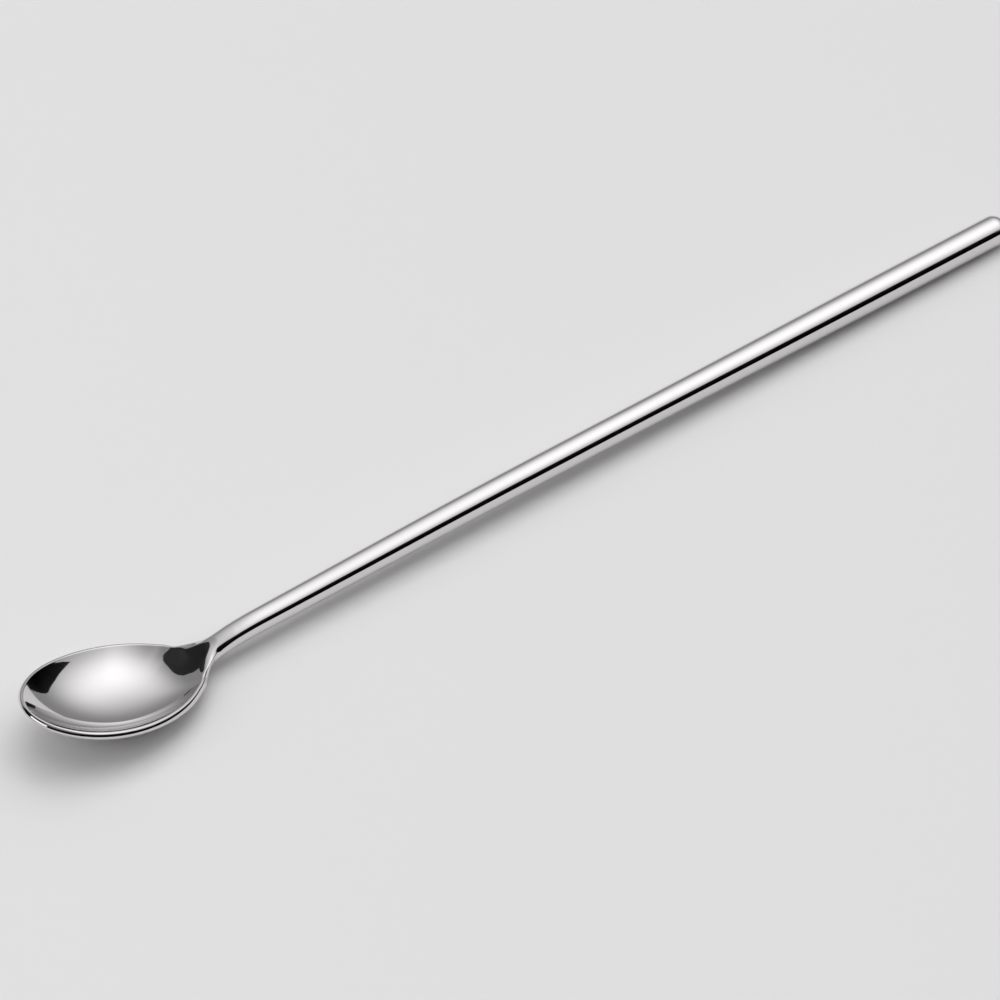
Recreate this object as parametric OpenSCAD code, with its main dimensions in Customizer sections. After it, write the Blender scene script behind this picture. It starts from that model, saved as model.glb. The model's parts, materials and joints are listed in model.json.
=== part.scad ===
// Iced tea spoon: an egg-shaped bowl on a long round hollow handle.
// The pieces are shaped along the handle's axis, with zero at the bowl's widest place.
// at_rest() then lays the spoon down on its bowl and its handle end.

/* [Bowl] */
// Width of the bowl over its rim
bowl_w = 25.3; // [20:0.1:32]
// Length from the widest place to the tip
tip_l = 17.8; // [14:0.1:24]
// Length from the widest place to the heel
heel_l = 19.6; // [15:0.1:26]
// Thickness of the rim
rim_t = 1.2; // [0.8:0.05:1.8]
// Width of the flat land on top of the rim
rim_land = 0.25; // [0.1:0.05:0.5]
// Thickness of the floor
floor_t = 1.2; // [0.8:0.05:2]
// Depth of the hollow below the rim
hollow_depth = 5.6; // [4.5:0.1:8]
// Height of the rim's tip above the handle's axis
tip_rise = 6.4; // [4:0.1:9]
// Height of the rim's widest place above the handle's axis
mid_rise = 1.75; // [1:0.05:3]
// Depth of the rim's heel below the handle's axis
heel_drop = 1.85; // [0.8:0.05:2.5]
// Depth of the small flat that the bowl rests on
rest_flat = 0.15; // [0.05:0.01:0.3]

/* [Neck] */
// Diameter of the neck where it is slimmest
neck_d = 4.3; // [3.8:0.05:5]
// Length of the bowl's own stub, from the heel to the first weld
stub_l = 7.4; // [5:0.1:12]
// Length of the separate neck, between its two welds
neck_l = 38; // [25:1:60]
// How much wider the stub is on each side at its root in the bowl
root_flare = 2.9; // [1.5:0.1:3.5]
// How far the stub's centre sinks to its root in the bowl
root_drop = 2.35; // [1.5:0.05:3]
// How much lower the stub is above and below its centre at its root
root_thin = 0.9; // [0.4:0.05:1.2]

/* [Handle] */
// Length of the spoon along the handle's axis
spoon_l = 228.6; // [190:0.1:260]
// Diameter of the handle's middle
grip_d = 5.4; // [5:0.02:6]
// Diameter of the handle's end
end_d = 6; // [5.5:0.05:7]
// Length over which the neck swells to the middle
swell_l = 70; // [50:1:80]
// Length over which the middle swells to the end
flare_l = 68; // [20:1:70]
// Length of the straight round stretch of tube at the end
straight_l = 20; // [10:1:30]

/* [Joints] */
// Diameter of the tube's bore
bore_d = 3.6; // [3:0.05:4]
// Length of the neck's spigot inside the tube
neck_spigot_l = 14; // [6:0.5:25]
// Length of the cap's spigot inside the tube
cap_spigot_l = 8; // [4:0.5:15]
// Length of the cap's skirt behind its dome
cap_skirt_l = 2; // [1:0.1:5]
// Width of each weld
weld_w = 0.6; // [0.3:0.05:1]
// Gap round a spigot
spigot_gap = 0.05; // [0.03:0.01:0.1]
// Chamfer on a spigot's leading edge
spigot_chamfer = 0.3; // [0.1:0.05:0.6]

/* [Hidden] */

// Thickness of the thin slices that the stub is drawn through
slice_t = 0.02;
// Power of the dish's section: 2 is a parabola, more is flatter in the floor
dish_power = 2.2;
// Power by which the stub sinks to its root: 1 is straight, more starts level
sink_power = 1.2;
// Power by which the hollow's wall is carried on above the rim, into the stub's root
reach_power = 3;
// How far in the stub's root lies behind the heel, as a share of the heel's length
root_share = 0.14;
// Places of the dish's rings from the middle out, as shares of its outline
ring_shares = [0.12, 0.25, 0.37, 0.49, 0.6, 0.7, 0.79, 0.87, 0.94, 1];
// Places of the hollow's rings above the rim, as shares of its outline
reach_shares = [1.07, 1.15, 1.25, 1.45];
// Counts of sides and steps
dish_sides = 72;
stub_sides = 48;
round_steps = 5;
stub_steps = 10;
profile_steps = 24;
$fn = 64;

bowl_r = bowl_w / 2;
neck_r = neck_d / 2;
grip_r = grip_d / 2;
end_r = end_d / 2;
bore_r = bore_d / 2;
spigot_r = bore_r - spigot_gap;
rim_round = rim_t - rim_land;

// Places along the handle's axis
bowl_weld_x = heel_l + stub_l;
neck_x = bowl_weld_x + weld_w;
neck_weld_x = neck_x + neck_l;
tube_x = neck_weld_x + weld_w;
dome_x = spoon_l - tip_l - end_r;
cap_x = dome_x - cap_skirt_l;
cap_weld_x = cap_x - weld_w;
straight_x = cap_weld_x - straight_l;
root_x = heel_l * (1 - root_share);

// Eased steps from 0 to 1: ease_out() slows down at its end, s_curve() at both ends
function clamp01(s) = min(1, max(0, s));
function ease_out(s) = 1 - pow(1 - clamp01(s), 2);
function s_curve(s) = let (c = clamp01(s)) c * c * (3 - 2 * c);

// Radius of the handle at a place along its axis
function handle_r(x) = neck_r
    + (grip_r - neck_r) * ease_out((x - bowl_weld_x) / swell_l)
    + (end_r - grip_r) * s_curve((x - straight_x + flare_l) / flare_l);

// Outline of a turned piece, as radius and place, from one end to the other
function handle_points(from, to) = [
    for (i = [0:profile_steps])
        let (x = from + (to - from) * i / profile_steps)
        [handle_r(x), x]
];

// Height of the rim at a place along the bowl: a curve through tip, widest place and heel
function rim_z(x) = mid_rise
    + (tip_rise - mid_rise) * x * (x - heel_l) / (tip_l * (tip_l + heel_l))
    - (heel_drop + mid_rise) * x * (x + tip_l) / (heel_l * (heel_l + tip_l));

// The bowl's outline at one angle from the heel, drawn in by inset and shrunk to a share
function bowl_xy(angle, inset, share) = [
    share * cos(angle) * ((cos(angle) < 0 ? tip_l : heel_l) - inset),
    share * sin(angle) * (bowl_r - inset)
];

// One ring of the dish, with its depth below the rim
function dish_ring(inset, share, depth) = [
    for (k = [0:dish_sides - 1])
        let (p = bowl_xy(360 * k / dish_sides, inset, share))
        [p.x, p.y, rim_z(p.x) - depth]
];

// Depth below the rim of a dish that is so deep in the middle
function dish_depth(depth, share) = depth * (1 - pow(share, share > 1 ? reach_power : dish_power));

outer_depth = hollow_depth + floor_t - rim_round;
outer_rings = [
    for (s = ring_shares) dish_ring(0, s, rim_round + dish_depth(outer_depth, s))
];
rim_rings = [
    for (i = [1:round_steps])
        let (a = 90 * i / round_steps)
        dish_ring(rim_round * (1 - cos(a)), 1, rim_round * (1 - sin(a)))
];
hollow_rings = [
    for (s = concat(ring_shares, reach_shares))
        dish_ring(rim_t, s, dish_depth(hollow_depth, s))
];

// How the spoon lies: the lowest place of the bowl, the tilt and the lift
function lowest(points, tilt) =
    let (heights = [for (p = points) p.z * cos(tilt) - p.x * sin(tilt)])
    points[search(min(heights), heights)[0]];
function rest_tilt(tilt, rounds) = rounds == 0
    ? tilt
    : let (p = lowest(bowl_points, tilt))
      rest_tilt(asin((-end_r - rest_flat - p.z) / (dome_x - p.x)), rounds - 1);

bowl_points = [for (ring = concat(outer_rings, rim_rings)) for (p = ring) p];
tilt = rest_tilt(0, 4);
lift = dome_x * sin(tilt) + end_r;
tip_x = min([for (p = bowl_points) p.x * cos(tilt) + p.z * sin(tilt)]);
end_x = dome_x * cos(tilt) + end_r;

// Lays a piece down in the resting spoon, with the origin under its middle
module at_rest() {
    translate([-(tip_x + end_x) / 2, 0, lift]) rotate([0, tilt, 0]) children();
}

// What lies below the resting spoon
module below_rest() {
    translate([0, 0, -end_r]) cube([spoon_l, spoon_l, end_d], center = true);
}

// A solid through rings of points, closed by a point at each end
module ringed(first, rings, last) {
    count = len(rings[0]);
    end = len(rings) * count + 1;
    points = concat([first], [for (ring = rings) for (p = ring) p], [last]);
    ends = [
        for (k = [0:count - 1])
            let (next = (k + 1) % count)
            each [
                [0, 1 + k, 1 + next],
                [end, end - count + next, end - count + k]
            ]
    ];
    sides = [
        for (i = [0:len(rings) - 2])
            for (k = [0:count - 1])
                let (a = 1 + i * count + k, b = 1 + i * count + (k + 1) % count)
                each [[a, a + count, b], [b, a + count, b + count]]
    ];
    polyhedron(points, concat(ends, sides));
}

// A piece turned about the handle's axis, from its outline of radius and place
module turned(outline) {
    rotate([0, 90, 0]) rotate_extrude() polygon(outline);
}

// A weld between two butted ends, round a hole of the given radius
module weld(x, hole_r) {
    turned([[hole_r, x], [handle_r(x), x], [handle_r(x + weld_w), x + weld_w], [hole_r, x + weld_w]]);
}

// Outline of a spigot, from its shoulder at one place to its end at another
function spigot_points(from, to) =
    let (back = to > from ? -spigot_chamfer : spigot_chamfer)
    [[spigot_r, from], [spigot_r, to + back], [spigot_r - spigot_chamfer, to], [0, to]];

// The dish without its hollow
module dish() {
    top = [0, 0, mid_rise];
    bottom = [0, 0, mid_rise - hollow_depth - floor_t];
    ringed(bottom, concat(outer_rings, rim_rings), top);
}

// What is pressed out of the dish and of the stub's root
module hollow() {
    top = [0, 0, hollow_rings[len(hollow_rings) - 1][0].z];
    bottom = [0, 0, mid_rise - hollow_depth];
    ringed(bottom, hollow_rings, top);
}

// One thin slice of the stub: share 0 is at the weld, 1 at the root in the bowl
module stub_slice(share) {
    x = bowl_weld_x + (root_x - bowl_weld_x) * share;
    half_w = neck_r + root_flare * share * share;
    half_h = neck_r - root_thin * share;
    translate([x, 0, -root_drop * pow(share, sink_power)])
        scale([1, half_w, half_h])
            rotate([0, -90, 0]) cylinder(h = slice_t, r = 1, $fn = stub_sides);
}

module bowl() {
    color("silver") difference() {
        at_rest() union() {
            dish();
            for (i = [0:stub_steps - 1]) hull() {
                stub_slice(i / stub_steps);
                stub_slice((i + 1) / stub_steps);
            }
        }
        at_rest() hollow();
        below_rest();
    }
}

module bowl_weld() {
    color("lightgray") at_rest() weld(bowl_weld_x, 0);
}

module neck() {
    color("silver") at_rest() turned(concat(
        [[0, neck_x]],
        handle_points(neck_x, neck_weld_x),
        spigot_points(neck_weld_x, tube_x + neck_spigot_l)
    ));
}

module neck_weld() {
    color("lightgray") at_rest() weld(neck_weld_x, bore_r);
}

module handle_tube() {
    color("silver") at_rest() turned(concat(
        [[bore_r, tube_x]],
        handle_points(tube_x, straight_x),
        [[end_r, cap_weld_x], [bore_r, cap_weld_x]]
    ));
}

module cap_weld() {
    color("lightgray") at_rest() weld(cap_weld_x, bore_r);
}

module end_cap() {
    dome = [for (i = [0:profile_steps]) let (a = 90 * i / profile_steps)
        [end_r * sin(a), dome_x + end_r * cos(a)]];
    color("silver") at_rest() turned(concat(
        dome,
        [[end_r, cap_x]],
        spigot_points(cap_x, cap_weld_x - cap_spigot_l)
    ));
}

bowl();
bowl_weld();
neck();
neck_weld();
handle_tube();
cap_weld();
end_cap();
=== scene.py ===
# Iced tea spoon in polished steel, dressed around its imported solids.
import json
import math

import bmesh
import bpy
from mathutils import Matrix, Vector


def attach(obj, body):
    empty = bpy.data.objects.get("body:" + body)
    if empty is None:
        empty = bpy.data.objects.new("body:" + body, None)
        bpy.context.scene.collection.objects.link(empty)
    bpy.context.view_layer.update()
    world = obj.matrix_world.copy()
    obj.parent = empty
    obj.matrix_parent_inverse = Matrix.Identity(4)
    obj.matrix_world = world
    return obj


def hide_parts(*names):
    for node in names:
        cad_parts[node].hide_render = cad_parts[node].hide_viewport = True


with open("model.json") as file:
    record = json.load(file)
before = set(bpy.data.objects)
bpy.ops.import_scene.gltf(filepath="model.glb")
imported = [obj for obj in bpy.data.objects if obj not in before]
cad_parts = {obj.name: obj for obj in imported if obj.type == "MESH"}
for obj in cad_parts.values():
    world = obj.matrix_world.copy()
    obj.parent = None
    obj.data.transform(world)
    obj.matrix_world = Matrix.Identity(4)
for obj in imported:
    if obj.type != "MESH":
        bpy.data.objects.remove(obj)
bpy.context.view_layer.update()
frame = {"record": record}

# One millimetre in the scene's metres
MM = 0.001

# Sizes in millimetres, places being along the handle's axis from the bowl's widest place
SPOON_L = 228.6
TIP_L = 17.8
HEEL_L = 19.6
BOWL_R = 12.2
RIM_T = 0.9
RIM_LAND = 0.15
RIM_DROP = 1.1
FLOOR_T = 1.9
HOLLOW_DEPTH = 5.3
FLOOR_LIFT = 1.25
LIFT_FROM_X = -12.0
LIFT_TO_X = 14.0
TIP_RISE = 7.0
MID_RISE = 2.17
HEEL_DROP = 1.6
SHOULDER_ROUND = 1.9
SHOULDER_X = 18.4
SHOULDER_L = 3.3
STUB_L = 7.4
NECK_L = 38.0
NECK_R = 2.22
GRIP_R = 2.7
END_R = 3.0
SWELL_L = 90.0
FLARE_L = 68.0
STRAIGHT_L = 20.0
ROOT_FLARE = 3.0
ROOT_THIN = 0.9
BEND_DROP = 2.36
BEND_END_X = 34.0
BOW_SAG = 0.36
BOW_RISE = 0.39
BOW_FROM_X = 24.0
BOW_TOP_X = 92.0
BOW_END_X = 215.0
BORE_R = 1.8
SPIGOT_GAP = 0.05
SPIGOT_CHAMFER = 0.3
NECK_SPIGOT_L = 14.0
CAP_SPIGOT_L = 8.0
CAP_SKIRT_L = 2.0
WELD_W = 0.6

# Arcs of the rim's section: the tilt in degrees at which each ends, and its radius in millimetres
RIM_ARCS = ((44, 0.5), (66, 1.5), (136, 0.7))

# Shares and powers of the curves of the bowl, its stub and the neck's bend
ROOT_IN_SHARE = 0.14
DISH_ROUND_SHARE = 0.81
SHOULDER_FADE = 4
ARCH_FADE = 4
ARCH_LIMIT_SHARE = 1.3
CREST_CREASE = 0.8
FLARE_POWER = 3.3
THIN_POWER = 6.0
RIDGE_POWER = 0.95
BEND_POWER = 2.05

# Sizes and places that follow from those above
OUTER_DEPTH = HOLLOW_DEPTH + FLOOR_T - RIM_DROP
SPIGOT_R = BORE_R - SPIGOT_GAP
ROOT_X = HEEL_L * (1 - ROOT_IN_SHARE)
BOWL_WELD_X = HEEL_L + STUB_L
NECK_X = BOWL_WELD_X + WELD_W
NECK_WELD_X = NECK_X + NECK_L
TUBE_X = NECK_WELD_X + WELD_W
DOME_X = SPOON_L - TIP_L - END_R
CAP_X = DOME_X - CAP_SKIRT_L
CAP_WELD_X = CAP_X - WELD_W
STRAIGHT_X = CAP_WELD_X - STRAIGHT_L

# Mesh counts, and the turn in radians from the heel's middle to the stub's side
BOWL_SIDES = 96
HEEL_STEPS = 5
HEEL_TURN = 2 * math.pi * HEEL_STEPS / BOWL_SIDES
TURNED_STEPS = 96
PROFILE_STEPS = 32
DOME_STEPS = 24
ARCH_HALVINGS = 30
SMOOTH_LEVELS = 2

# Mesh angles in degrees, and the gap in millimetres at which points are merged
STUB_CORNER = 30.0
SHARP_ANGLE = 30.0
MERGE_GAP = 1e-4

# The camera, fitted to the photograph, in degrees and millimetres, and its far limit in metres
VIEW_TURN = 37.93
VIEW_RISE = 44.0
VIEW_DISTANCE = 1662.0
VIEW_AT = (-5.84, 1.96, 0.0)
VIEW_LENS = 324.0
VIEW_SENSOR = 36.0
VIEW_FAR_M = 100.0


# Places along the spoon
def laid_down():
    """Matrix from the handle's own axes in millimetres to the resting spoon in metres."""
    grip = frame["record"]["mounts"][0]
    along = Vector(grip["axis"]).normalized()
    across = Vector((0, 1, 0))
    up = along.cross(across)
    start = Vector(grip["pos_m"]) - along * (STRAIGHT_X + DOME_X) / 2 * MM
    turn = Matrix((along, across, up)).transposed().to_4x4()
    return Matrix.Translation(start) @ turn @ Matrix.Scale(MM, 4)


REST = laid_down()


def clamped_share(s):
    return min(1.0, max(0.0, s))


def smooth_step(low, high, x):
    s = clamped_share((x - low) / (high - low))
    return s * s * (3 - 2 * s)


def handle_r(x):
    """Radius of the handle: a slim neck, a fuller middle and a wider end."""
    swell = 1 - (1 - clamped_share((x - BOWL_WELD_X) / SWELL_L)) ** 2
    flare = smooth_step(STRAIGHT_X - FLARE_L, STRAIGHT_X, x)
    return NECK_R + (GRIP_R - NECK_R) * swell + (END_R - GRIP_R) * flare


def bend(x):
    """How far the handle hangs below its axis: down to the bowl, and bowed up past the neck."""
    neck = BEND_DROP * max(0.0, (BEND_END_X - x) / (BEND_END_X - ROOT_X)) ** BEND_POWER
    up = (BOW_SAG + BOW_RISE) * smooth_step(BOW_FROM_X, BOW_TOP_X, x)
    return neck + BOW_SAG - up + BOW_RISE * smooth_step(BOW_TOP_X, BOW_END_X, x)


def root_share(x):
    return clamped_share((BOWL_WELD_X - x) / (BOWL_WELD_X - ROOT_X))


def stub_half(x):
    """Half the width and half the height of the bowl's stub."""
    share = root_share(x)
    return NECK_R + ROOT_FLARE * share ** FLARE_POWER, NECK_R - ROOT_THIN * share ** THIN_POWER


def stub_rise(x, angle):
    """Height of the stub's skin above its middle: round below, and ridged on top near the bowl."""
    up = math.sin(angle)
    return stub_half(x)[1] * (up ** (1 + RIDGE_POWER * root_share(x)) if up > 0 else up)


def stub_point(x, angle, reach):
    """Point of the bowl's stub at a place along it, reach being 1 on its skin."""
    side = stub_half(x)[0] * math.cos(angle)
    return Vector((x, reach * side, reach * stub_rise(x, angle) - bend(x)))


def rim_z(x):
    """Height of the rim: a curve through its tip, its widest place and its heel."""
    bowl_l = TIP_L + HEEL_L
    return (
        MID_RISE
        + (TIP_RISE - MID_RISE) * x * (x - HEEL_L) / (TIP_L * bowl_l)
        - (HEEL_DROP + MID_RISE) * x * (x + TIP_L) / (HEEL_L * bowl_l)
    )


def plain_egg(turn, inset):
    """Point of a plain egg drawn in by inset, its turn being 0 at the heel."""
    c = math.cos(turn)
    length = TIP_L + (HEEL_L - TIP_L) * smooth_step(-1, 1, c) - inset
    return length * c, (BOWL_R - inset) * math.sin(turn)


def shoulder(turn):
    """How much wider the bowl is than a plain egg where its sides run into the neck."""
    side = min(1.0, abs(turn) / HEEL_TURN)
    x, y = plain_egg(max(abs(turn), HEEL_TURN), 0)
    if x < HEEL_L / 2:
        return 1
    neck = stub_half(x)[0]
    blend = SHOULDER_ROUND * math.exp(-((x - SHOULDER_X) / SHOULDER_L) ** 2)
    wide = (y + neck + math.hypot(y - neck, blend)) / 2 / y
    return 1 + (wide - 1) * side ** 2


def egg(turn, inset, share):
    """Point of the bowl's outline, drawn in by inset and shrunk to a share."""
    x, y = plain_egg(turn, inset)
    wide = 1 + (shoulder(turn) - 1) * min(1.0, share) ** SHOULDER_FADE
    return share * x, share * y * wide


def dish(share):
    """How high the dish stands at a share of its outline: 0 in the middle, 1 at the edge."""
    return DISH_ROUND_SHARE * share ** 2 + (1 - DISH_ROUND_SHARE) * share ** 4


def plain_hollow(turn, share):
    """Point of the hollow's skin, its floor lifted toward the heel."""
    x, y = egg(turn, RIM_T, share)
    lift = FLOOR_LIFT * smooth_step(LIFT_FROM_X, LIFT_TO_X, x) * (1 - min(1.0, share) ** 2) ** 2
    return Vector((x, y, rim_z(x) - HOLLOW_DEPTH * (1 - dish(share)) + lift))


def arch_reach(turn):
    """How far past the rim the hollow runs before it comes out of the stub's skin."""
    def above_skin(share):
        p = plain_hollow(turn, share)
        side = min(1.0, abs(p.y) / stub_half(p.x)[0])
        return p.z + bend(p.x) - stub_rise(p.x, math.acos(side))

    low, high = 1.0, ARCH_LIMIT_SHARE
    if above_skin(low) > 0 or abs(turn) > HEEL_TURN:
        return 0.0
    for _ in range(ARCH_HALVINGS):
        middle = (low + high) / 2
        if above_skin(middle) > 0:
            high = middle
        else:
            low = middle
    return low - 1


def hollow_point(turn, share):
    return plain_hollow(turn, share * (1 + arch_reach(turn) * share ** ARCH_FADE))


def rim_section(tilt):
    """Inset and depth on the rounded rim, where its skin is tilted so far from level."""
    inset = depth = last = 0.0
    for end, radius in RIM_ARCS:
        a, b = math.radians(last), math.radians(min(tilt, end))
        inset -= radius * (math.sin(b) - math.sin(a))
        depth += radius * (math.cos(a) - math.cos(b))
        last = end
        if tilt <= end:
            break
    return RIM_T - RIM_LAND + inset, depth


def rim_point(turn, tilt):
    inset, depth = rim_section(tilt)
    x, y = egg(turn, inset, 1)
    return Vector((x, y, rim_z(x) - depth))


def wall_point(turn, share):
    x, y = egg(turn, 0, share)
    return Vector((x, y, rim_z(x) - RIM_DROP - OUTER_DEPTH * (1 - dish(share))))


# Rows of the bowl's skin, from the hollow's middle over the rim to the underside's middle
HOLLOW_SHARES = (0.3, 0.36, 0.43, 0.5, 0.57, 0.65, 0.73, 0.81, 0.88, 0.95)
RIM_TILTS = (0, 14, 31, 48, 65, 86, 110, 136)
WALL_SHARES = (0.94, 0.88, 0.8, 0.7, 0.58, 0.45, 0.3)
ROWS = (
    [("hollow", s) for s in HOLLOW_SHARES]
    + [("hollow", 1.0)]
    + [("rim", t) for t in RIM_TILTS]
    + [("wall", s) for s in WALL_SHARES]
)
CREST_ROW = len(HOLLOW_SHARES)
STUB_ROW = ROWS.index(("wall", WALL_SHARES[1]))
HOLLOW_FILL = len(ROWS)
UNDER_FILL = HOLLOW_FILL + 1

# Stations of the stub from the bowl to the weld: place along it and how far its top leads
STUB_STATIONS = (
    (21.3, 2.6), (22.4, 2.1), (23.5, 1.5), (24.6, 0.9), (25.8, 0.3), (BOWL_WELD_X, 0)
)

# The stub's mesh is drawn this much larger, because smoothing shrinks it
STUB_SPREAD = 1.006


def skin_point(row, turn, reach):
    if row == HOLLOW_FILL:
        return hollow_point(turn, HOLLOW_SHARES[0] * reach)
    if row == UNDER_FILL:
        return wall_point(turn, WALL_SHARES[-1] * reach)
    kind, value = ROWS[row]
    if kind == "hollow":
        return hollow_point(turn, value)
    if kind == "rim":
        return rim_point(turn, value)
    return wall_point(turn, value)


def fill_ring(bm, edges, row_layer, row):
    """Closes a ring with a grid of faces, from two facing quarters of it."""
    def quarter(edge):
        mid = (edge.verts[0].co + edge.verts[1].co) / 2
        return abs(mid.x) > abs(mid.y)

    old = set(bm.verts)
    bmesh.ops.grid_fill(bm, edges=[e for e in edges if quarter(e)], use_interp_simple=True)
    for v in bm.verts:
        if v not in old:
            v[row_layer] = row


def new_piece(name, bm, steel, node):
    """Makes a mesh a piece of the spoon, shown in place of a solid."""
    mesh = bpy.data.meshes.new(name)
    bm.to_mesh(mesh)
    bm.free()
    mesh.materials.append(steel)
    piece = bpy.data.objects.new(name, mesh)
    bpy.context.scene.collection.objects.link(piece)
    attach(piece, "root")
    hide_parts(node)
    return piece


def make_bowl(steel):
    """One skin over the hollow, the rim and the underside, drawn out at the heel into the stub."""
    bm = bmesh.new()
    row_of = bm.verts.layers.int.new("row")
    turn_of = bm.verts.layers.float.new("turn")
    crease = bm.edges.layers.float.new("crease_edge")
    bmesh.ops.create_circle(bm, cap_ends=False, segments=BOWL_SIDES, radius=1)
    ring = list(bm.edges)
    fill_ring(bm, ring, row_of, HOLLOW_FILL)
    for row in range(1, len(ROWS)):
        out = bmesh.ops.extrude_edge_only(bm, edges=ring)["geom"]
        new = {g for g in out if isinstance(g, bmesh.types.BMVert)}
        for v in new:
            v[row_of] = row
        ring = [e for e in bm.edges if e.verts[0] in new and e.verts[1] in new]
    fill_ring(bm, ring, row_of, UNDER_FILL)

    for v in bm.verts:
        reach = v.co.xy.length
        turn = math.atan2(v.co.y, v.co.x)
        v[turn_of] = turn
        v.co = skin_point(v[row_of], turn, reach)
    for e in bm.edges:
        if all(v[row_of] == CREST_ROW for v in e.verts):
            e[crease] = CREST_CREASE

    step = 2 * math.pi / BOWL_SIDES
    limit = (HEEL_STEPS + 0.5) * step
    heel = [
        f for f in bm.faces
        if all(CREST_ROW <= v[row_of] <= STUB_ROW and abs(v[turn_of]) < limit for v in f.verts)
    ]
    middle = (CREST_ROW + STUB_ROW) / 2
    for x, lead in STUB_STATIONS:
        out = bmesh.ops.extrude_face_region(bm, geom=heel)["geom"]
        bmesh.ops.delete(bm, geom=[f for f in heel if f.is_valid], context="FACES")
        heel = [g for g in out if isinstance(g, bmesh.types.BMFace)]
        for v in {v for f in heel for v in f.verts}:
            across = v[turn_of] / step / HEEL_STEPS
            upward = (middle - v[row_of]) / (middle - CREST_ROW)
            reach = max(abs(across), abs(upward))
            if abs(upward) >= abs(across):
                share = across / reach if reach else 0
                angle = math.radians(90 - (90 - STUB_CORNER) * share)
                angle = angle if upward >= 0 else -angle
            else:
                angle = math.radians(STUB_CORNER * upward / reach)
                angle = angle if across > 0 else math.pi - angle
            v.co = stub_point(x + lead * reach * math.sin(angle), angle, reach * STUB_SPREAD)
    end = set(heel)
    for e in bm.edges:
        if sum(f in end for f in e.link_faces) == 1:
            e[crease] = 1
            e.smooth = False
    for f in bm.faces:
        f.smooth = f not in end
    bmesh.ops.recalc_face_normals(bm, faces=bm.faces)
    bmesh.ops.transform(bm, matrix=REST, verts=bm.verts)
    for v in bm.verts:
        v.co.z = max(v.co.z, 0)
    bowl = new_piece("spoon_bowl", bm, steel, "bowl")
    smooth = bowl.modifiers.new("smooth", "SUBSURF")
    smooth.levels = smooth.render_levels = SMOOTH_LEVELS


def make_turned(name, outline, closed, steel, node):
    """Spins an outline of place and radius about the handle's axis, and bends it with the handle."""
    bm = bmesh.new()
    points = [bm.verts.new((x, 0, r)) for x, r in outline]
    pairs = zip(points, points[1:] + points[:1] if closed else points[1:])
    lines = [bm.edges.new(pair) for pair in pairs]
    bmesh.ops.spin(
        bm, geom=points + lines, cent=(0, 0, 0), axis=(1, 0, 0),
        angle=2 * math.pi, steps=TURNED_STEPS, use_merge=True,
    )
    bmesh.ops.remove_doubles(bm, verts=bm.verts, dist=MERGE_GAP)
    bmesh.ops.recalc_face_normals(bm, faces=bm.faces)
    for v in bm.verts:
        v.co.z -= bend(v.co.x)
    bmesh.ops.transform(bm, matrix=REST, verts=bm.verts)
    for f in bm.faces:
        f.smooth = True
    piece = new_piece(name, bm, steel, node)
    piece.data.set_sharp_from_angle(angle=math.radians(SHARP_ANGLE))


def handle_outline(start, end):
    return [
        (x, handle_r(x))
        for x in (start + (end - start) * i / PROFILE_STEPS for i in range(PROFILE_STEPS + 1))
    ]


def spigot_outline(start, end):
    back = -SPIGOT_CHAMFER if end > start else SPIGOT_CHAMFER
    return [(start, SPIGOT_R), (end + back, SPIGOT_R), (end, SPIGOT_R - SPIGOT_CHAMFER), (end, 0)]


def weld_outline(start, end, hole_r):
    return [(start, hole_r), (start, handle_r(start)), (end, handle_r(end)), (end, hole_r)]


# Materials: the polishing lines' and the smears' scales are per metre, their depth in metres
STEEL_COLOUR = (0.705, 0.69, 0.695)
STEEL_ROUGH = (0.03, 0.07)
WELD_COLOUR = (0.7, 0.685, 0.69)
WELD_ROUGH = (0.035, 0.075)
LINE_SCALE = (60, 2400, 2400)
LINE_DETAIL = 2
LINE_BUMP = 0.05
LINE_DEPTH = 0.00001
SMEAR_SCALE = 130
SMEAR_DETAIL = 4
SMEAR_RANGE = (0.12, 0.42)


def node_at(tree, kind, **values):
    node = tree.nodes.new(kind)
    for key, value in values.items():
        setattr(node, key, value)
    return node


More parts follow.
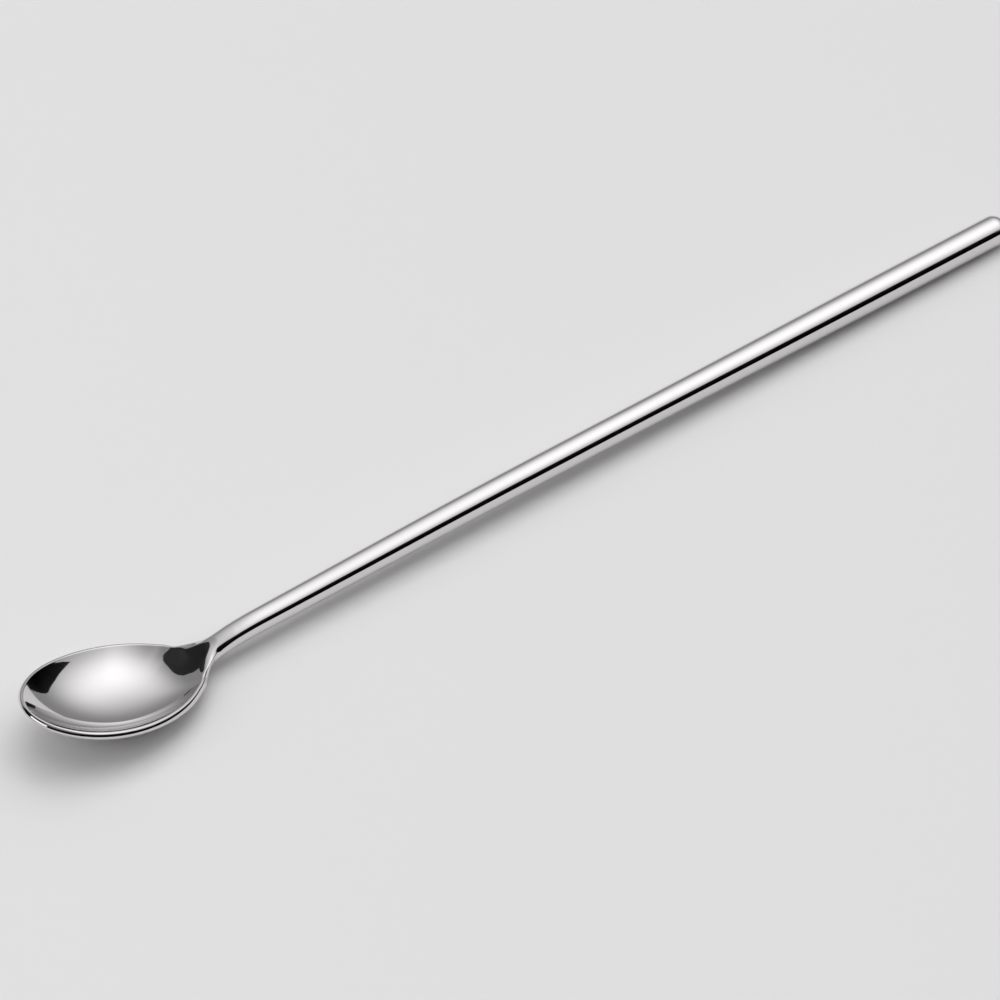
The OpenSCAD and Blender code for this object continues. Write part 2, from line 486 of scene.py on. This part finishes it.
def make_steel(name, colour, roughness):
    """Mirror-polished steel with faint polishing lines along the handle and soft smears."""
    steel = bpy.data.materials.new(name)
    steel.use_nodes = True
    tree = steel.node_tree
    shader = tree.nodes["Principled BSDF"]
    shader.inputs["Base Color"].default_value = (*colour, 1)
    shader.inputs["Metallic"].default_value = 1

    coords = node_at(tree, "ShaderNodeTexCoord")
    stretch = node_at(tree, "ShaderNodeMapping")
    stretch.inputs["Scale"].default_value = LINE_SCALE
    lines = node_at(tree, "ShaderNodeTexNoise")
    lines.inputs["Scale"].default_value = 1
    lines.inputs["Detail"].default_value = LINE_DETAIL
    smears = node_at(tree, "ShaderNodeTexNoise")
    smears.inputs["Scale"].default_value = SMEAR_SCALE
    smears.inputs["Detail"].default_value = SMEAR_DETAIL
    both = node_at(tree, "ShaderNodeMath", operation="MULTIPLY")
    rough = node_at(tree, "ShaderNodeMapRange")
    rough.inputs["From Min"].default_value = SMEAR_RANGE[0]
    rough.inputs["From Max"].default_value = SMEAR_RANGE[1]
    rough.inputs["To Min"].default_value = roughness[0]
    rough.inputs["To Max"].default_value = roughness[1]
    bump = node_at(tree, "ShaderNodeBump")
    bump.inputs["Strength"].default_value = LINE_BUMP
    bump.inputs["Distance"].default_value = LINE_DEPTH

    link = tree.links.new
    link(coords.outputs["Object"], stretch.inputs["Vector"])
    link(stretch.outputs["Vector"], lines.inputs["Vector"])
    link(coords.outputs["Object"], smears.inputs["Vector"])
    link(lines.outputs["Fac"], both.inputs[0])
    link(smears.outputs["Fac"], both.inputs[1])
    link(both.outputs["Value"], rough.inputs["Value"])
    link(rough.outputs["Result"], shader.inputs["Roughness"])
    link(lines.outputs["Fac"], bump.inputs["Height"])
    link(bump.outputs["Normal"], shader.inputs["Normal"])
    return steel


def make_plain(name, colour, roughness, specular):
    plain = bpy.data.materials.new(name)
    plain.use_nodes = True
    shader = plain.node_tree.nodes["Principled BSDF"]
    shader.inputs["Base Color"].default_value = (*colour, 1)
    shader.inputs["Roughness"].default_value = roughness
    shader.inputs["Specular IOR Level"].default_value = specular
    return plain


# The studio in metres, degrees and watts, with places on its roof in roof heights from its middle
ROOF_Z = 2.4
GLOW_AT = (-0.4, 0.0)
GLOW_SPREAD = (2.14, 1.13)
GLOW_POWER = -1.51
GLOW_STRENGTH = 1.6
GLOW_EDGE = (-0.11, 0.66)
GLOW_SLANT = 0.105
SKY_STRENGTH = 0.285
LOWEST_SKY = 0.01
ROOM_CORNERS = ((8, 1.3), (8, -8), (-8, -8), (-8, 8.5))
DARK_CLOTH = (
    (-0.9, 1.7), (-0.5, 1.35), (-0.2, 1.2), (0, 1), (0.05, 0.8), (0.05, 0.6), (0, 0.35), (0, 0.1),
    (-0.05, -0.05), (-0.1, -0.1), (-0.9, -0.1), (-1.15, -0.35), (-0.9, -0.8), (-0.35, -1.3),
    (1.2, -1.4), (1.25, -1.7), (3, -1.75), (3.1, -1.55), (2.05, -1.35), (1.55, -1.15),
    (2.45, -0.45), (3.35, 0), (4.25, 0.45), (5.45, 0.8), *ROOM_CORNERS, (-4, 8.5),
)
CLOTH_COLOUR = (0.06, 0.06, 0.06)
CLOTH_ROUGH = 0.9
SMALL_LIGHT_TURN = -85.0
SMALL_LIGHT_RISE = 22.0
SMALL_LIGHT_AWAY = 2.0
SMALL_LIGHT_HALF = (0.75, 0.38)
SMALL_LIGHT_STRENGTH = 1.45
TOP_LAMP_AT = (-0.05, 0.25, 2.2)
TOP_LAMP_SIZE = 1.9
TOP_LAMP_POWER = 20.0
SIDE_LAMP_AT = (-1.95, 0.5, 1.45)
SIDE_LAMP_SIZE = 2.4
SIDE_LAMP_POWER = 25.0
FLOOR_SIZE = 400.0
FLOOR_COLOUR = (0.8, 0.795, 0.8)
FLOOR_ROUGH = 0.6


def make_card(name, corners, material, shown):
    """A flat card through its corners, as part of the studio."""
    bm = bmesh.new()
    points = [bm.verts.new(c) for c in corners]
    outline = [bm.edges.new(pair) for pair in zip(points, points[1:] + points[:1])]
    bmesh.ops.edgeloop_fill(bm, edges=outline)
    mesh = bpy.data.meshes.new(name)
    bm.to_mesh(mesh)
    bm.free()
    mesh.materials.append(material)
    card = bpy.data.objects.new(name, mesh)
    card.visible_camera = shown
    bpy.context.scene.collection.objects.link(card)


def make_floor():
    """Plain pale matt floor."""
    half = FLOOR_SIZE / 2
    corners = [(-half, -half, 0), (half, -half, 0), (half, half, 0), (-half, half, 0)]
    make_card("floor", corners, make_plain("pale_floor", FLOOR_COLOUR, FLOOR_ROUGH, 0), True)


def make_lamp(name, at, size, power):
    """Broad lamp that faces the spoon, for its shadow on the floor."""
    data = bpy.data.lights.new(name, "AREA")
    data.size = size
    data.energy = power
    lamp = bpy.data.objects.new(name, data)
    lamp.location = at
    lamp.rotation_euler = Vector(at).to_track_quat("Z", "Y").to_euler()
    lamp.visible_glossy = False
    bpy.context.scene.collection.objects.link(lamp)


def make_small_light():
    """Small lit card beyond the bowl's tip, for the glint on the rim there."""
    lit = make_plain("lamp_cloth", (0, 0, 0), 1, 0)
    shader = lit.node_tree.nodes["Principled BSDF"]
    shader.inputs["Emission Color"].default_value = (1, 1, 1, 1)
    shader.inputs["Emission Strength"].default_value = SMALL_LIGHT_STRENGTH
    turn, rise = math.radians(SMALL_LIGHT_TURN), math.radians(SMALL_LIGHT_RISE)
    away = Vector((
        math.sin(turn) * math.cos(rise), math.cos(turn) * math.cos(rise), math.sin(rise)
    ))
    side = away.cross((0, 0, 1)).normalized()
    up = side.cross(away) * SMALL_LIGHT_HALF[1]
    side *= SMALL_LIGHT_HALF[0]
    at = away * SMALL_LIGHT_AWAY
    corners = [at - side - up, at + side - up, at + side + up, at - side + up]
    make_card("small_light", corners, lit, False)


def make_sky():
    """Grey surround with one broad soft glow overhead, which fades out toward the bowl."""
    world = bpy.data.worlds.new("studio")
    world.use_nodes = True
    tree = world.node_tree
    coords = node_at(tree, "ShaderNodeTexCoord")
    split = node_at(tree, "ShaderNodeSeparateXYZ")
    above = node_at(tree, "ShaderNodeMath", operation="MAXIMUM")
    above.inputs[1].default_value = LOWEST_SKY
    inverse = node_at(tree, "ShaderNodeMath", operation="DIVIDE")
    inverse.inputs[0].default_value = 1
    roof = node_at(tree, "ShaderNodeVectorMath", operation="SCALE")
    centre = node_at(tree, "ShaderNodeMapping")
    centre.inputs["Location"].default_value = (
        -GLOW_AT[0] / GLOW_SPREAD[0], -GLOW_AT[1] / GLOW_SPREAD[1], 0
    )
    centre.inputs["Scale"].default_value = (1 / GLOW_SPREAD[0], 1 / GLOW_SPREAD[1], 0)
    square = node_at(tree, "ShaderNodeVectorMath", operation="DOT_PRODUCT")
    widen = node_at(tree, "ShaderNodeMath", operation="ADD")
    widen.inputs[1].default_value = 1
    fall = node_at(tree, "ShaderNodeMath", operation="POWER")
    fall.inputs[1].default_value = GLOW_POWER
    across = node_at(tree, "ShaderNodeVectorMath", operation="DOT_PRODUCT")
    across.inputs[1].default_value = (1, -GLOW_SLANT, 0)
    edge = node_at(tree, "ShaderNodeMapRange", interpolation_type="SMOOTHSTEP")
    edge.inputs["From Min"].default_value = GLOW_EDGE[0]
    edge.inputs["From Max"].default_value = GLOW_EDGE[1]
    both = node_at(tree, "ShaderNodeMath", operation="MULTIPLY")
    level = node_at(tree, "ShaderNodeMath", operation="MULTIPLY_ADD")
    level.inputs[1].default_value = GLOW_STRENGTH
    level.inputs[2].default_value = SKY_STRENGTH
    shader = tree.nodes["Background"]
    shader.inputs["Color"].default_value = (1, 1, 1, 1)
    link = tree.links.new
    link(coords.outputs["Generated"], split.inputs["Vector"])
    link(split.outputs["Z"], above.inputs[0])
    link(above.outputs["Value"], inverse.inputs[1])
    link(coords.outputs["Generated"], roof.inputs["Vector"])
    link(inverse.outputs["Value"], roof.inputs["Scale"])
    link(roof.outputs["Vector"], centre.inputs["Vector"])
    link(centre.outputs["Vector"], square.inputs[0])
    link(centre.outputs["Vector"], square.inputs[1])
    link(square.outputs["Value"], widen.inputs[0])
    link(widen.outputs["Value"], fall.inputs[0])
    link(roof.outputs["Vector"], across.inputs[0])
    link(across.outputs["Value"], edge.inputs["Value"])
    link(fall.outputs["Value"], both.inputs[0])
    link(edge.outputs["Result"], both.inputs[1])
    link(both.outputs["Value"], level.inputs[0])
    link(level.outputs["Value"], shader.inputs["Strength"])
    bpy.context.scene.world = world


def make_studio():
    make_floor()
    make_sky()
    make_lamp("top_lamp", TOP_LAMP_AT, TOP_LAMP_SIZE, TOP_LAMP_POWER)
    make_lamp("side_lamp", SIDE_LAMP_AT, SIDE_LAMP_SIZE, SIDE_LAMP_POWER)
    make_small_light()
    dark = make_plain("dark_cloth", CLOTH_COLOUR, CLOTH_ROUGH, 0)
    roof = [Vector((x, y, 1)) * ROOF_Z for x, y in DARK_CLOTH]
    make_card("dark_cloth", roof, dark, False)
    for number, (a, b) in enumerate(zip(ROOM_CORNERS, ROOM_CORNERS[1:])):
        foot = [Vector((*p, 0)) * ROOF_Z for p in (a, b)]
        top = [Vector((*p, 1)) * ROOF_Z for p in (b, a)]
        make_card(f"dark_side_{number}", foot + top, dark, False)


def make_camera():
    turn, rise = math.radians(VIEW_TURN), math.radians(VIEW_RISE)
    back = Vector((
        -math.sin(turn) * math.cos(rise), -math.cos(turn) * math.cos(rise), math.sin(rise)
    ))
    data = bpy.data.cameras.new("camera")
    data.lens = VIEW_LENS
    data.sensor_width = VIEW_SENSOR
    data.clip_end = VIEW_FAR_M
    camera = bpy.data.objects.new("camera", data)
    camera.location = (Vector(VIEW_AT) + back * VIEW_DISTANCE) * MM
    camera.rotation_euler = back.to_track_quat("Z", "Y").to_euler()
    bpy.context.scene.collection.objects.link(camera)
    bpy.context.scene.camera = camera


make_camera()
bowl_steel = make_steel("bowl_steel_polish", STEEL_COLOUR, STEEL_ROUGH)
handle_steel = make_steel("handle_steel_polish", STEEL_COLOUR, STEEL_ROUGH)
weld_steel = make_steel("weld_steel_polish", WELD_COLOUR, WELD_ROUGH)

make_bowl(bowl_steel)
make_turned(
    "spoon_bowl_weld", weld_outline(BOWL_WELD_X, NECK_X, 0),
    False, weld_steel, "bowl_weld",
)
make_turned(
    "spoon_neck",
    [(NECK_X, 0)] + handle_outline(NECK_X, NECK_WELD_X)
    + spigot_outline(NECK_WELD_X, TUBE_X + NECK_SPIGOT_L),
    False, handle_steel, "neck",
)
make_turned(
    "spoon_neck_weld", weld_outline(NECK_WELD_X, TUBE_X, BORE_R),
    True, weld_steel, "neck_weld",
)
make_turned(
    "spoon_handle_tube",
    [(TUBE_X, BORE_R)] + handle_outline(TUBE_X, STRAIGHT_X)
    + [(CAP_WELD_X, END_R), (CAP_WELD_X, BORE_R)],
    True, handle_steel, "handle_tube",
)
make_turned(
    "spoon_cap_weld", weld_outline(CAP_WELD_X, CAP_X, BORE_R),
    True, weld_steel, "cap_weld",
)
dome = [math.pi / 2 * i / DOME_STEPS for i in range(DOME_STEPS + 1)]
make_turned(
    "spoon_end_cap",
    [(DOME_X + END_R * math.cos(a), END_R * math.sin(a)) for a in dome]
    + [(CAP_X, END_R)] + spigot_outline(CAP_X, CAP_WELD_X - CAP_SPIGOT_L),
    False, handle_steel, "end_cap",
)
make_studio()

bpy.context.scene.view_settings.view_transform = "Standard"
